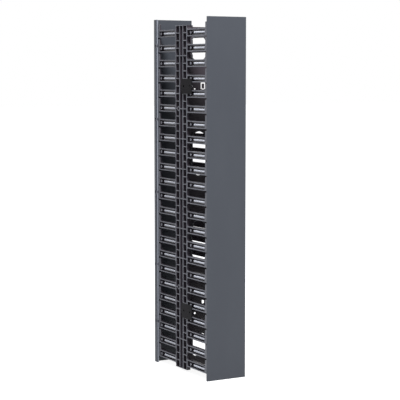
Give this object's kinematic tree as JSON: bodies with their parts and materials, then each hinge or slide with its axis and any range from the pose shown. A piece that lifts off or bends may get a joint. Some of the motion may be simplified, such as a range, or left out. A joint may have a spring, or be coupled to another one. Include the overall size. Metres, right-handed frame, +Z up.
{
  "type": "vertical cable manager",
  "caption": "Tall two-sided vertical cable manager: finger combs on a folded steel backplane with pass-through holes, closed front and rear by hinged sheet covers.",
  "frame": {"origin": "centre of the bounding box's bottom face, below the middle of the backplane", "axes": "+X to the right seen from the front, +Y to the rear, +Z up along the combs; the front cover faces -Y"},
  "size_m": [0.13, 0.326, 1.052],
  "materials": {
    "cover_paint": "satin",
    "black_plastic": "satin",
    "black_steel": "satin",
    "zinc_steel": "plated",
    "trim_plastic": "satin"
  },
  "bodies": {
    "frame": {"backplane": "black_steel", "upper_edge_trim": "trim_plastic", "upper_middle_edge_trim": "trim_plastic", "lower_middle_edge_trim": "trim_plastic", "lower_edge_trim": "trim_plastic", "left_comb_top": "black_plastic", "left_comb_upper": "black_plastic", "left_comb_middle": "black_plastic", "left_comb_lower": "black_plastic", "left_comb_bottom": "black_plastic", "right_comb_top": "black_plastic", "right_comb_upper": "black_plastic", "right_comb_middle": "black_plastic", "right_comb_lower": "black_plastic", "right_comb_bottom": "black_plastic", "left_comb_screws": "zinc_steel", "right_comb_screws": "zinc_steel", "upper_left_bracket": "black_steel", "lower_left_bracket": "black_steel", "upper_right_bracket": "black_steel", "lower_right_bracket": "black_steel", "left_bracket_bolts": "zinc_steel", "right_bracket_bolts": "zinc_steel", "front_hinge_rod": "zinc_steel", "rear_hinge_rod": "zinc_steel"},
    "front_cover_body": {"front_cover": "cover_paint", "front_cover_clips": "black_plastic", "front_clip_studs": "zinc_steel"},
    "rear_cover_body": {"rear_cover": "cover_paint", "rear_cover_clips": "black_plastic", "rear_clip_studs": "zinc_steel"}
  },
  "joints": [
    {"name": "front_cover_hinge", "type": "hinge", "parent": "frame", "child": "front_cover_body", "pos_m": [0.061, -0.1495, 0.526], "axis": [0, 0, 1], "range_deg": [0, 110]},
    {"name": "rear_cover_hinge", "type": "hinge", "parent": "frame", "child": "rear_cover_body", "pos_m": [-0.061, 0.1495, 0.526], "axis": [0, 0, 1], "range_deg": [0, 110]}
  ]
}
